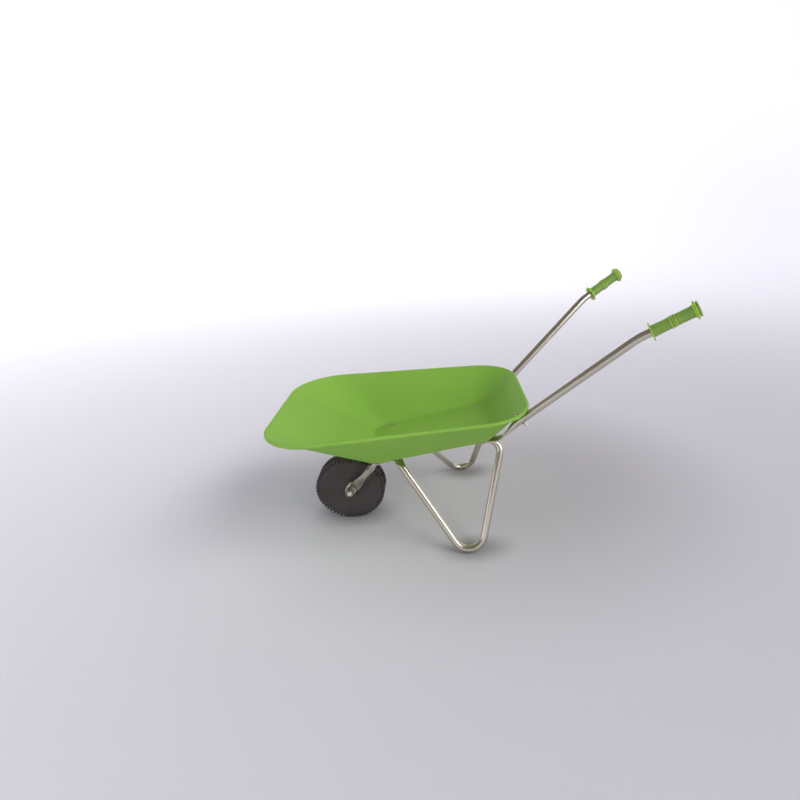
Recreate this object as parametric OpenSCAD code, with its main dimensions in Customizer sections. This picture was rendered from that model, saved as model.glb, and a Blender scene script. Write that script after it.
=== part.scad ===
// Children's single-wheel garden barrow: pressed steel tray on two bent tube
// side frames, two bolted handles with moulded grips, one moulded wheel.
// Millimetres. +X towards the wheel, +Y to the pusher's left, +Z up.
// The routes below are measured from the wheel's axle line (x = 0) and the
// ground (z = 0). to_origin then moves every node, so that the origin lies
// under the middle of the whole barrow.

/* [Wheel] */
// Diameter over the tread lugs
wheel_d = 150; // [140:1:156]
// Width across the two flat faces
wheel_w = 41; // [36:0.5:43]
// Lugs round each shoulder
lug_count = 54; // [36:2:60]
// Height of a lug above the tread
lug_h = 3.5; // [2.5:0.5:4]
// Wall thickness of the hollow moulding
wheel_wall = 3; // [2.5:0.5:4]

/* [Tubes] */
// Outside diameter of the frame and handle tube
tube_d = 16; // [15:0.5:17]
// Wall thickness of the tube
tube_wall = 1.2; // [1:0.1:1.5]
// Thickness of the tube where it is pressed flat for a bolt
flat_t = 2.8; // [2.6:0.1:3.2]

/* [Tray] */
// Rim of the tray, front edge, from the axle line
rim_front_x = 120; // [116:1:126]
// Rim of the tray, rear edge, behind the axle line
rim_rear_x = 382; // [378:1:386]
// Width of the rim line at its front
rim_front_w = 384; // [376:1:392]
// Width of the rim line at its rear
rim_rear_w = 328; // [324:1:332]
// Height of the rim line at its front
rim_front_z = 270; // [266:1:276]
// Height of the rim line at its rear
rim_rear_z = 298; // [296:1:300]
// Corner radius of the rim at its front
rim_front_r = 96; // [80:1:105]
// Corner radius of the rim at its rear
rim_rear_r = 90; // [86:1:94]
// Thickness of the pressed sheet
sheet_t = 1; // [0.8:0.1:1.2]
// Bend radius between the floor and the walls
floor_bend_r = 14; // [10:1:16]
// Radius of the rolled rim, at the middle of the sheet
bead_r = 3.2; // [2.6:0.1:3.3]

/* [Legs and handles] */
// Half the distance between the two feet, at the bend's virtual corner
foot_y = 194; // [188:1:202]
// Bend radius of a foot
foot_bend_r = 33; // [28:1:38]
// Height of the handle ends above the ground
handle_z = 507; // [499:1:515]
// Half the distance between the handle ends
handle_y = 201; // [195:1:207]
// Bend radius of the handles below the grips
handle_bend_r = 122; // [90:1:140]
// Length of a grip
grip_len = 86; // [80:1:95]

/* [Fasteners] */
// Diameter of the tray bolts
bolt_d = 5; // [5:0.5:6]
// Diameter of the axle bolt
axle_d = 10; // [9:0.5:10]

/* [Hidden] */
$fn = 96;

tray_green = [0.45, 0.72, 0.13];
grip_green = [0.36, 0.66, 0.12];
tube_zinc = [0.72, 0.71, 0.66];
bolt_zinc = [0.78, 0.78, 0.76];
wheel_grey = [0.17, 0.16, 0.16];

// ---- Common fits
gap = 0.1;                          // between pieces that lie on each other
tube_r = tube_d / 2;
tube_in_r = tube_r - tube_wall;
wheel_r = wheel_d / 2;
axle_z = wheel_r;

// ---- Vectors
function unit(v) = v / norm(v);
// The part of v that is square to the unit vector d
function square_to(v, d) = unit(v - (v * d) * d);

// Puts the child's origin at p and its +Z along dir
module at(p, dir) {
    d = unit(dir);
    translate(p) rotate([0, acos(d.z), atan2(d.y, d.x)]) children();
}

// ---- Tray surface
// The floor slopes up to the rear; the rim line slopes up a little less.
floor_front_x = -55;
floor_rear_x = -314;
floor_front_w = 193;
floor_rear_w = 208.4;
floor_front_z = 176.5;
floor_rear_z = 224.24;
floor_front_r = 31;
floor_rear_r = 25;
corner_steps = 12;
side_steps = 6;
bend_steps = 5;
bead_steps = 10;
bead_turn = 255;

function floor_slope() = (floor_rear_z - floor_front_z) / (floor_rear_x - floor_front_x);
function floor_mid_z(x) = floor_front_z + floor_slope() * (x - floor_front_x);
floor_up = unit([-floor_slope(), 0, 1]);
function rim_mid_z(x) =
    rim_front_z + (rim_rear_z - rim_front_z) * (x - rim_front_x) / (-rim_rear_x - rim_front_x);

// A plan is [front x, rear x, front half width, rear half width, front corner r, rear corner r]
rim_plan = [rim_front_x, -rim_rear_x, rim_front_w / 2, rim_rear_w / 2, rim_front_r, rim_rear_r];
floor_plan = [floor_front_x, floor_rear_x, floor_front_w / 2, floor_rear_w / 2,
    floor_front_r, floor_rear_r];

// Direction in plan of the left side's outward normal
function side_angle(plan) = 90 + atan((plan[2] - plan[3]) / (plan[0] - plan[1]));
function dir2(a) = [cos(a), sin(a)];
// Centre of the arc of radius r that is tangent to two sides meeting at corner v
function arc_centre(v, r, a, b) = v - r * (dir2(a) + dir2(b)) / (1 + dir2(a) * dir2(b));
// Points of the left half of an outline, front to rear, at share k of each corner's turn
function front_corner(plan, k) =
    arc_centre([plan[0], plan[2]], plan[4], 0, side_angle(plan)) + plan[4] * dir2(k * side_angle(plan));
function rear_corner(plan, k) =
    arc_centre([plan[1], plan[3]], plan[5], side_angle(plan), 180)
    + plan[5] * dir2(side_angle(plan) + k * (180 - side_angle(plan)));
function left_half(plan) = concat(
    [for (i = [0:corner_steps]) front_corner(plan, i / corner_steps)],
    [for (i = [1:side_steps - 1])
        front_corner(plan, 1) + (rear_corner(plan, 0) - front_corner(plan, 1)) * i / side_steps],
    [for (i = [0:corner_steps]) rear_corner(plan, i / corner_steps)]);
function outline(plan) = let (half = left_half(plan), n = len(half))
    concat(half, [for (i = [n - 1:-1:0]) [half[i].x, -half[i].y]]);

function on_floor(p) = [p.x, p.y, floor_mid_z(p.x)];
function on_rim(p) = [p.x, p.y, rim_mid_z(p.x)];

// Section of the sheet from the floor's bend to the end of the rolled rim,
// offset to one side of the sheet by off (positive towards the inside)
function wall_section(f, r, off) =
    let (w = unit(r - f),
        g = square_to(w, floor_up),
        turn = acos(w * g),
        bend_centre = f - g * floor_bend_r * tan(turn / 2) + floor_up * floor_bend_r,
        m = g * sin(turn) - floor_up * cos(turn),
        bead_centre = r + m * bead_r)
    concat(
        [for (i = [0:bend_steps]) let (a = turn * i / bend_steps)
            bend_centre + (floor_bend_r - off) * (g * sin(a) - floor_up * cos(a))],
        [for (i = [0:bead_steps]) let (a = bead_turn * i / bead_steps)
            bead_centre + (bead_r + off) * (w * sin(a) - m * cos(a))]);
function sheet_loop(f, r) =
    let (outer = wall_section(f, r, -sheet_t / 2), n = len(outer))
    concat(wall_section(f, r, sheet_t / 2), [for (i = [n - 1:-1:0]) outer[i]]);

// A point of the rear left corner's wall, at share k of the corner and share t up the wall
function corner_wall(k, t) =
    (1 - t) * on_floor(rear_corner(floor_plan, k)) + t * on_rim(rear_corner(rim_plan, k));
function corner_normal(k, t) =
    let (along = corner_wall(k + 0.01, t) - corner_wall(k - 0.01, t),
        up = corner_wall(k, 1) - corner_wall(k, 0))
    unit(cross(along, up));

module tray_sheet() {
    floor_pts = outline(floor_plan);
    rim_pts = outline(rim_plan);
    n = len(rim_pts);
    loops = [for (i = [0:n - 1]) sheet_loop(on_floor(floor_pts[i]), on_rim(rim_pts[i]))];
    m = len(loops[0]);
    polyhedron(
        points = [for (loop = loops) each loop],
        faces = concat(
            [for (i = [0:n - 1], j = [0:m - 2]) let (a = i * m + j, b = ((i + 1) % n) * m + j)
                [a, b, b + 1, a + 1]],
            [[for (i = [n - 1:-1:0]) i * m]],
            [[for (i = [0:n - 1]) i * m + m - 1]]));
}

// ---- Bolt stations, on the left side
front_bolt_x = -95;
rear_bolt_x = -293.5;
floor_bolt_y = 84;
wall_bolt_k = 0.75;
wall_bolt_t = 0.765;
spacer_h = 3.8;                    // sheet to tube, at the wall bolt
function under_floor(x, y, depth) = [x, y, floor_mid_z(x)] - floor_up * (sheet_t / 2 + depth);
wall_point = corner_wall(wall_bolt_k, wall_bolt_t);
wall_out = corner_normal(wall_bolt_k, wall_bolt_t);

// Depths below the floor's underside: the handle's strap lies between the
// floor and the side frame at the rear bolt
frame_front_depth = gap + flat_t / 2;
strap_depth = gap + flat_t / 2;
frame_rear_depth = strap_depth + gap + flat_t;

// ---- Routes of bent tube
// Turn between two unit directions
function turn_of(a, b) = acos(a * b);
// [start, centre, end, in-direction, turn] of the bend at corner q
function bend_at(p, q, s, r) =
    let (a = unit(q - p), b = unit(s - q), cut = r * tan(turn_of(a, b) / 2))
    [q - a * cut, q - a * cut + square_to(b, a) * r, q + b * cut, a, turn_of(a, b)];
// Lowest point of the centre line in a foot whose corner lies at height z
function foot_low(z) =
    let (bend = bend_at(leg_top, [foot_x, foot_y, z], leg_rear_top, foot_bend_r),
        axis = unit(cross(bend[3], unit(bend[1] - bend[0]))))
    bend[1].z - foot_bend_r * sqrt(1 - axis.z * axis.z);
// The corner's height that puts the foot's underside on the ground
function foot_corner(z, n) = n == 0 ? z : foot_corner(z + tube_r - foot_low(z), n - 1);

// The side frame: fork tab at the axle, crest under the floor's front, foot,
// and top bend under the floor's rear
bush_flange_t = 3.4;
side_play = 0.5;
tab_y = wheel_w / 2 + bush_flange_t + side_play + flat_t / 2;
tab_len = 15;
crest_front = under_floor(-74, floor_bolt_y, frame_front_depth);
leg_top = under_floor(-113, floor_bolt_y - 2, frame_front_depth);
foot_x = -271;
leg_rear_top = under_floor(-335, floor_bolt_y - 1, frame_rear_depth);
frame_end = under_floor(rear_bolt_x + 10, floor_bolt_y + 0.6, frame_rear_depth);
foot = [foot_x, foot_y, foot_corner(-34, 8)];
tab_centre = [0, tab_y, axle_z];
tab_dir = unit([crest_front.x, 0, crest_front.z - axle_z]);
tab_corner = tab_centre + tab_dir * tab_len;
// The fork arm steps outwards from the tab, and a little back
jog_corner = tab_corner + tab_dir * 5 + [-1.8, 5, -1.8];
crest_bend_r = 14;
top_bend_r = 24;
front_bend = bend_at(crest_front, leg_top, foot, crest_bend_r);
foot_bend = bend_at(leg_top, foot, leg_rear_top, foot_bend_r);
top_bend = bend_at(foot, leg_rear_top, frame_end, top_bend_r);

// The handle: strap under the floor's rear, round tube from the wall bolt up
handle_at_wall = wall_point + wall_out * (sheet_t / 2 + spacer_h + tube_r);
handle_corner = [-562, 177, handle_z - 55.5];
handle_end = [-652, handle_y, handle_z];
handle_dir = unit(handle_corner - handle_at_wall);
strap_top = handle_at_wall - handle_dir * 12;
strap_end = under_floor(rear_bolt_x + 6, floor_bolt_y - 2, strap_depth);
strap_turn_x = -328;
strap_turn_k = (strap_turn_x - strap_end.x) / (strap_top.x - strap_end.x);
strap_turn_y = strap_end.y + (strap_top.y - strap_end.y) * strap_turn_k;
strap_corner = under_floor(strap_turn_x, strap_turn_y, strap_depth);
handle_bend = bend_at(strap_top, handle_corner, handle_end, handle_bend_r);
grip_dir = unit(handle_end - handle_corner);

// Round tube. A straight from p to q laps a little way past each end into what
// meets it there, and a bend is a hair thicker than the straights, so that it
// swallows their ends.
joint_step = 0.2;
joint_lap = 2;
bend_lap = 0.3;
module tube_section(step) {
    difference() {
        circle(tube_r + step);
        circle(tube_in_r - step);
    }
}
module tube_run(p, q, before = bend_lap, after = bend_lap) {
    d = unit(q - p);
    at(p - d * before, d) linear_extrude(norm(q - p) + before + after) tube_section(0);
}
module tube_turn(bend) {
    x = unit(bend[0] - bend[1]);
    y = bend[3];
    z = cross(x, y);
    c = bend[1];
    multmatrix([[x.x, y.x, z.x, c.x], [x.y, y.y, z.y, c.y], [x.z, y.z, z.z, c.z], [0, 0, 0, 1]])
        rotate_extrude(angle = bend[4]) translate([norm(bend[0] - bend[1]), 0]) tube_section(bend_step);
}
bend_step = 0.02;

// Flattened tube: a sweep along points with a stadium section of constant
// girth, whose half thickness and flat direction are given at each point
sweep_sides = 20;
function stadium(c, dir, flat, half, r) =
    let (t = square_to(flat, dir), w = cross(dir, t), spread = (PI / 2) * (r - half))
    [for (i = [0:sweep_sides - 1]) let (a = 360 * (i + 0.5) / sweep_sides)
        c + w * (cos(a) * half + sign(cos(a)) * spread) + t * sin(a) * half];
module sweep(centres, dirs, flats, halves, r) {
    n = len(centres);
    s = sweep_sides;
    polyhedron(
        points = [for (i = [0:n - 1]) each stadium(centres[i], dirs[i], flats[i], halves[i], r)],
        faces = concat(
            [for (i = [0:n - 2], j = [0:s - 1]) let (a = i * s, k = (j + 1) % s)
                [a + j, a + k, a + s + k, a + s + j]],
            [[for (j = [s - 1:-1:0]) j]],
            [[for (j = [0:s - 1]) (n - 1) * s + j]]));
}
// Points [position, direction] round a bend, and along a straight
function bend_points(bend, steps) =
    let (x = bend[0] - bend[1], r = norm(x), y = bend[3])
    [for (i = [0:steps]) let (a = bend[4] * i / steps)
        [bend[1] + x * cos(a) + y * r * sin(a), y * cos(a) - unit(x) * sin(a)]];
function line_points(p, q, steps) = [for (i = [1:steps - 1]) [p + (q - p) * i / steps, unit(q - p)]];
// Distance along a list of such points, up to each of them
function run_length(pts, i) = i == 0 ? 0 : run_length(pts, i - 1) + norm(pts[i][0] - pts[i - 1][0]);
function run_lengths(pts) = [for (i = [0:len(pts) - 1]) run_length(pts, i)];
function bend_length(bend) = norm(bend[0] - bend[1]) * bend[4] * PI / 180;
function smooth(x) = let (c = min(1, max(0, x))) c * c * (3 - 2 * c);

// A faceted neck stays joint_step inside the round tube that it laps into, at
// its outside and at its bore
neck_bore_r = tube_in_r - 1.5 * joint_step;
hollow_from = 3.4;
function half_at(k) = flat_t / 2 + (tube_r - joint_step - flat_t / 2) * smooth(k);
// Flattened tube along pts, hollow where it is thick enough, before and after point split
module flattened_tube(pts, halves, flats, split = 0) {
    n = len(pts);
    difference() {
        sweep([for (p = pts) p[0]], [for (p = pts) p[1]], flats, halves, tube_r - joint_step);
        for (zone = [[0, split - 1], [split, n - 1]]) {
            inner = [for (i = [0:n - 1]) if (i >= zone[0] && i <= zone[1] && halves[i] > hollow_from) i];
            if (len(inner) > 1)
                sweep([for (i = inner) pts[i][0]], [for (i = inner) pts[i][1]], [for (i = inner) flats[i]],
                    [for (i = inner) halves[i] - tube_wall - joint_step / 2], neck_bore_r);
        }
    }
}

// ---- Placing: the routes are on the left side, and the right side mirrors them
grip_flange_r = 17;
grip_flange_back = 5;
end_flange_r = 14.5;
bead_reach = bead_r + sheet_t / 2;
front_loop = sheet_loop(on_floor(front_corner(floor_plan, 0)), on_rim(front_corner(rim_plan, 0)));
front_x = max([for (p = front_loop) p.x]);
grip_tilt = sqrt(1 - grip_dir.x * grip_dir.x);
rear_reach = max(end_flange_r * grip_tilt, grip_flange_r * grip_tilt + grip_dir.x * grip_flange_back);
rear_x = handle_end.x - rear_reach;
to_origin = [-(front_x + rear_x) / 2, 0, 0];
module left_side() { translate(to_origin) children(); }
module right_side() { translate(to_origin) mirror([0, 1, 0]) children(); }
module both_sides() {
    left_side() children();
    right_side() children();
}
// On the axle line, +Z to the left
module on_axle() { translate(to_origin) at([0, 0, axle_z], [0, 1, 0]) children(); }

// ---- Side frame
tab_bend = bend_at(tab_centre, tab_corner, jog_corner, 4);
jog_bend = bend_at(tab_corner, jog_corner, crest_front, 4);
crest_bend = bend_at(jog_corner, crest_front, leg_top, crest_bend_r);
leg_dir = unit(foot - leg_top);
rear_leg_dir = unit(leg_rear_top - foot);
neck_len = 20;
paddle_len = 66;
crest_neck_len = 36;
top_neck_len = 30;
leg_neck = front_bend[2] + leg_dir * neck_len;
top_neck = top_bend[0] - rear_leg_dir * 4;
tab_r = flat_t / 2 + (PI / 2) * (tube_r - flat_t / 2);

// Fork arm, crest and neck: flat at the axle, round half way up, flat again
// over the floor's front bolt, and round where the leg begins
module front_run() {
    arm = concat([[tab_centre, tab_dir]], bend_points(tab_bend, 4), bend_points(jog_bend, 4),
        line_points(jog_bend[2], crest_bend[0], 12), bend_points(crest_bend, 4));
    pts = concat(arm, bend_points(front_bend, 6),
        line_points(front_bend[2], leg_neck, 8), [[leg_neck, leg_dir]]);
    s = run_lengths(pts);
    paddle_from = s[10];
    crest_from = s[len(arm) - 5];
    crest_to = s[len(arm) + 6];
    round_to = crest_from - crest_neck_len;
    flattened_tube(pts,
        [for (x = s) half_at(max(min((x - paddle_from) / paddle_len, (crest_from - x) / crest_neck_len),
            (x - crest_to + 4) / (neck_len + 2)))],
        [for (x = s) let (k = smooth((x - round_to + 12) / 24)) unit([0, 1 - k, 0] + floor_up * k)],
        len(arm));
}
// Top bend of the rear leg: round at its foot end, flat over the floor's rear bolt
module rear_run() {
    pts = concat([[top_neck - rear_leg_dir * joint_lap, rear_leg_dir]],
        bend_points(top_bend, 10), [[frame_end, unit(frame_end - leg_rear_top)]]);
    s = run_lengths(pts);
    flat_from = s[len(s) - 2];
    flattened_tube(pts, [for (x = s) half_at((flat_from - x) / top_neck_len)], [for (x = s) floor_up]);
}
bolt_hole_r = bolt_d / 2 + 0.2;
axle_hole_r = axle_d / 2 + 0.2;
module floor_hole(x, y) {
    at(under_floor(x, y, 20), floor_up) cylinder(h = 40, r = bolt_hole_r);
}
// The rounded end of the tab stands a hair proud of the flattened tube
tab_boss_t = flat_t + 0.02;
module on_tab(z) { translate(tab_centre) rotate([90, 0, 0]) translate([0, 0, z]) children(); }
module side_frame() {
    color(tube_zinc) difference() {
        union() {
            union() {
                tube_run(leg_neck, foot_bend[0], before = joint_lap);
                tube_turn(foot_bend);
                tube_run(foot_bend[2], top_neck, after = 0);
            }
            front_run();
            on_tab(-tab_boss_t / 2) cylinder(h = tab_boss_t, r = tab_r);
            rear_run();
        }
        on_tab(-2 * flat_t) cylinder(h = 4 * flat_t, r = axle_hole_r);
        floor_hole(front_bolt_x, floor_bolt_y);
        floor_hole(rear_bolt_x, floor_bolt_y);
    }
}

// ---- Handle
strap_bend = bend_at(strap_end, strap_corner, strap_top, 30);
strap_top_bend = bend_at(strap_corner, strap_top, handle_corner, 25);
strap_neck = strap_top_bend[2] + handle_dir * joint_lap;
module strap() {
    dir = unit(strap_corner - strap_end);
    pts = concat([[strap_end, dir]], bend_points(strap_bend, 6),
        line_points(strap_bend[2], strap_top_bend[0], 5), bend_points(strap_top_bend, 5),
        [[strap_neck, handle_dir]]);
    s = run_lengths(pts);
    flattened_tube(pts,
        [for (x = s) half_at((x - s[6]) / (s[len(pts) - 2] - s[6]))],
        [for (i = [0:len(pts) - 1]) let (k = smooth(i / 7), side = cross(floor_up, dir))
            unit(floor_up * (1 - k) + cross(pts[i][1], side) * k)]);
}
grip_end_t = 3.5;
handle_tube_end = handle_end - grip_dir * (grip_end_t + 0.5);
module handle() {
    color(tube_zinc) difference() {
        union() {
            union() {
                tube_run(strap_neck, handle_bend[0], before = joint_lap);
                tube_turn(handle_bend);
                tube_run(handle_bend[2], handle_tube_end, after = 0);
            }
            strap();
        }
        floor_hole(rear_bolt_x, floor_bolt_y);
        at(wall_point, wall_out) cylinder(h = 40, r = bolt_hole_r);
    }
}
// Saddle washer that fills the space between the tray's wall and the round handle
spacer_r = 7;
module handle_spacer() {
    color(bolt_zinc) difference() {
        at(wall_point + wall_out * (sheet_t / 2 + gap), wall_out) cylinder(h = spacer_h + 3, r = spacer_r);
        at(handle_at_wall - handle_dir * 20, handle_dir) cylinder(h = 40, r = tube_r + gap);
        at(wall_point, wall_out) cylinder(h = 40, r = bolt_hole_r);
    }
}

// ---- Grip: a closed sleeve with a hand stop, three rings and a double end flange
grip_r = 11;
grip_bore_r = tube_r + 0.05;
module disc(z, h, r) { translate([0, 0, z]) cylinder(h = h, r = r); }
module grip() {
    color(grip_green) at(handle_end - grip_dir * grip_len, grip_dir) difference() {
        union() {
            disc(0, grip_len, grip_r);
            disc(0, 2.4, grip_flange_r);
            for (i = [-1:1]) disc(grip_len * 0.46 + i * 4 - 0.9, 1.8, grip_r + 1);
            disc(grip_len - 11, 5, grip_r + 1);
            disc(grip_len - grip_flange_back - 2.2, 2.2, grip_flange_r);
            disc(grip_len - 2.4, 2.4, end_flange_r);
        }
        translate([0, 0, -1]) cylinder(h = grip_len - grip_end_t + 1, r = grip_bore_r);
    }
}

// ---- Wheel
hub_r = 16;
bush_r = 10;
bush_fit = 0.02;
tread_r = wheel_r - lug_h;
lug_w = 13;
shoulder = 4;
// Half section of a ring with its outer edges chamfered by c
module chamfered(r_in, r_out, half, c) {
    polygon([[r_in, -half], [r_out - c, -half], [r_out, c - half], [r_out, half - c], [r_out - c, half],
        [r_in, half]]);
}
// Outline of one ring of lugs, open in the middle
module lug_ring(turn) {
    pitch = 360 / lug_count;
    root_r = tread_r - 1;
    lug_corners = [[-0.3, root_r], [-0.26, wheel_r], [0.26, wheel_r], [0.3, root_r]];
    difference() {
        polygon([for (i = [0:lug_count - 1], c = lug_corners) c[1] * dir2(turn + (i + c[0]) * pitch)]);
        circle(tread_r - 2);
    }
}
module wheel() {
    half = wheel_w / 2;
    color(wheel_grey) on_axle() {
        rotate_extrude() difference() {
            chamfered(bush_r, tread_r, half, shoulder);
            chamfered(hub_r, tread_r - wheel_wall, half - wheel_wall, shoulder);
        }
        translate([0, 0, half - lug_w]) linear_extrude(lug_w) lug_ring(0);
        translate([0, 0, -half]) linear_extrude(lug_w) lug_ring(0);
    }
}
// Flanged bush pressed into one side of the hub, running on the sleeve
sleeve_r = 7.5;
running_gap = 0.06;
bush_len = 14;
bush_flange_r = 13;
module hub_bush(side) {
    color(wheel_grey) on_axle() mirror([0, 0, side]) translate([0, 0, wheel_w / 2 - bush_len])
        difference() {
            union() {
                cylinder(h = bush_len + bush_flange_t, r = bush_r - bush_fit);
                translate([0, 0, bush_len + bush_fit])
                    cylinder(h = bush_flange_t - bush_fit, r = bush_flange_r);
            }
            translate([0, 0, -1]) cylinder(h = bush_len + bush_flange_t + 2, r = sleeve_r + running_gap);
        }
}

// ---- Axle: a bolt clamps the two fork tabs on a sleeve, and the wheel turns on the sleeve
tab_in = tab_y - flat_t / 2 - gap;
tab_out = tab_y + flat_t / 2 + gap;
washer_t = 1.6;
washer_r = 10;
axle_head_t = 6.4;
axle_nut_t = 8;
axle_hex = 17;
hex_share = 2 / sqrt(3);
module hex(across, h) { cylinder(h = h, d = across * hex_share, $fn = 6); }
module ring_disc(h, ro, ri) {
    difference() {
        cylinder(h = h, r = ro);
        translate([0, 0, -1]) cylinder(h = h + 2, r = ri);
    }
}
module axle_sleeve() {
    color(bolt_zinc) on_axle() translate([0, 0, -tab_in]) ring_disc(2 * tab_in, sleeve_r, axle_d / 2 + 0.1);
}
module axle_washer(side) {
    color(bolt_zinc) on_axle() mirror([0, 0, side]) translate([0, 0, tab_out])
        ring_disc(washer_t, washer_r, axle_d / 2 + 0.2);
}
axle_seat = tab_out + washer_t + gap;
module axle_bolt() {
    color(bolt_zinc) on_axle() {
        translate([0, 0, -axle_seat]) cylinder(h = 2 * axle_seat + axle_nut_t + 3, d = axle_d);
        translate([0, 0, -axle_seat - axle_head_t]) hex(axle_hex, axle_head_t);
    }
}
module axle_nut() {
    color(bolt_zinc) on_axle() translate([0, 0, axle_seat]) difference() {
        hex(axle_hex, axle_nut_t);
        translate([0, 0, -1]) cylinder(h = axle_nut_t + 2, r = axle_d / 2 + 0.05);
    }
}

// ---- Tray bolts: domed head inside the tray, washer and nut underneath.
// Each stands at the inside face of the sheet, with +Z along the bolt's shank.
head_r = 5;
head_h = 2.8;
small_washer_t = 1;
small_washer_r = 5.5;
nut_t = 4;
nut_across = 8;
head_gap = 0.3;
module domed_bolt(len) {
    dome_r = (head_r * head_r + head_h * head_h) / (2 * head_h);
    color(bolt_zinc) translate([0, 0, -head_gap]) {
        intersection() {
            translate([0, 0, dome_r - head_h]) sphere(dome_r);
            translate([0, 0, -head_h]) cylinder(h = head_h, r = head_r + 1);
        }
        cylinder(h = len, d = bolt_d);
    }
}
module small_washer() { color(bolt_zinc) ring_disc(small_washer_t, small_washer_r, bolt_hole_r); }
module small_nut() {
    color(bolt_zinc) difference() {
        hex(nut_across, nut_t);
        translate([0, 0, -1]) cylinder(h = nut_t + 2, r = bolt_d / 2 + 0.05);
    }
}
// Child at a floor bolt, depth below the sheet's inside face
module at_floor_bolt(x, depth) {
    both_sides() at(under_floor(x, floor_bolt_y, depth - sheet_t), -floor_up) children();
}
module at_wall_bolt(depth) {
    both_sides() at(wall_point + wall_out * (depth - sheet_t / 2), wall_out) children();
}
front_stack = sheet_t + gap + flat_t + 0.02 + gap;
rear_stack = sheet_t + 2 * (gap + flat_t) + gap;
// The handle leans a little against the wall bolt, so its washer stands clear of the tube by the lean
wall_lean = abs(90 - acos(wall_out * handle_dir));
lean_lift = small_washer_r * tan(wall_lean) + tube_r * (1 / cos(wall_lean) - 1);
wall_stack = sheet_t + spacer_h + tube_d + lean_lift + gap;
under_nut = small_washer_t + gap;
thread_out = 3;
function bolt_len(stack) = stack + under_nut + nut_t + thread_out;

// ---- Tray
module tray() {
    color(tray_green) difference() {
        translate(to_origin) tray_sheet();
        for (x = [front_bolt_x, rear_bolt_x]) at_floor_bolt(x, -5) cylinder(h = 12, r = bolt_hole_r);
        at_wall_bolt(-5) cylinder(h = 12, r = bolt_hole_r);
    }
}

// ---- One module for each node
module side_frame_left() { left_side() side_frame(); }
module side_frame_right() { right_side() side_frame(); }
module handle_left() { left_side() handle(); }
module handle_right() { right_side() handle(); }
module handle_spacer_left() { left_side() handle_spacer(); }
module handle_spacer_right() { right_side() handle_spacer(); }
module grip_left() { left_side() grip(); }
module grip_right() { right_side() grip(); }
module hub_bush_left() { hub_bush(0); }
module hub_bush_right() { hub_bush(1); }
module axle_washer_left() { axle_washer(0); }
module axle_washer_right() { axle_washer(1); }
module front_floor_bolts() { at_floor_bolt(front_bolt_x, 0) domed_bolt(bolt_len(front_stack)); }
module front_floor_washers() { at_floor_bolt(front_bolt_x, front_stack) small_washer(); }
module front_floor_nuts() { at_floor_bolt(front_bolt_x, front_stack + under_nut) small_nut(); }
module rear_floor_bolts() { at_floor_bolt(rear_bolt_x, 0) domed_bolt(bolt_len(rear_stack)); }
module rear_floor_washers() { at_floor_bolt(rear_bolt_x, rear_stack) small_washer(); }
module rear_floor_nuts() { at_floor_bolt(rear_bolt_x, rear_stack + under_nut) small_nut(); }
module wall_bolts() { at_wall_bolt(0) domed_bolt(bolt_len(wall_stack)); }
module wall_washers() { at_wall_bolt(wall_stack) small_washer(); }
module wall_nuts() { at_wall_bolt(wall_stack + under_nut) small_nut(); }

tray();
side_frame_left();
side_frame_right();
handle_left();
handle_right();
handle_spacer_left();
handle_spacer_right();
grip_left();
grip_right();
wheel();
hub_bush_left();
hub_bush_right();
axle_bolt();
axle_sleeve();
axle_washer_left();
axle_washer_right();
axle_nut();
front_floor_bolts();
front_floor_washers();
front_floor_nuts();
rear_floor_bolts();
rear_floor_washers();
rear_floor_nuts();
wall_bolts();
wall_washers();
wall_nuts();
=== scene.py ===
import math

import bmesh
import bpy
import numpy as np
from mathutils import Matrix, Vector


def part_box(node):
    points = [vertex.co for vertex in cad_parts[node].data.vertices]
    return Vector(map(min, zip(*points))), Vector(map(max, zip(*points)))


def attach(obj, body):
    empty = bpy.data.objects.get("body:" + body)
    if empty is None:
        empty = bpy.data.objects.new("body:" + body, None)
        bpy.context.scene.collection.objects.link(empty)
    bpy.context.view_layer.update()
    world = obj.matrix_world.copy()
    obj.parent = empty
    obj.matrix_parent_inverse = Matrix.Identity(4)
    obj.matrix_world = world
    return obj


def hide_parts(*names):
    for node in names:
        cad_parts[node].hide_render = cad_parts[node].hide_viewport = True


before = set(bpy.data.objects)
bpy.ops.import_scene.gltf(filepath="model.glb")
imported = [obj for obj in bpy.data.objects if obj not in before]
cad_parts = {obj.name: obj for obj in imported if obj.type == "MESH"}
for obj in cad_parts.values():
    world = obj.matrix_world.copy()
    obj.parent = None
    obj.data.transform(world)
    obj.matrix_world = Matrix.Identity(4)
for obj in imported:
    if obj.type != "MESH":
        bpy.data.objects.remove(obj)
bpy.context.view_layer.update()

MM = 0.001
wheel_lo, wheel_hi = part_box("wheel")
# The routes below are in mm, from the axle line and the ground
AXLE_X = (wheel_lo.x + wheel_hi.x) / 2 / MM
WHEEL_R = (wheel_hi.z - wheel_lo.z) / 2 / MM
WHEEL_W = (wheel_hi.y - wheel_lo.y) / MM


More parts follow.
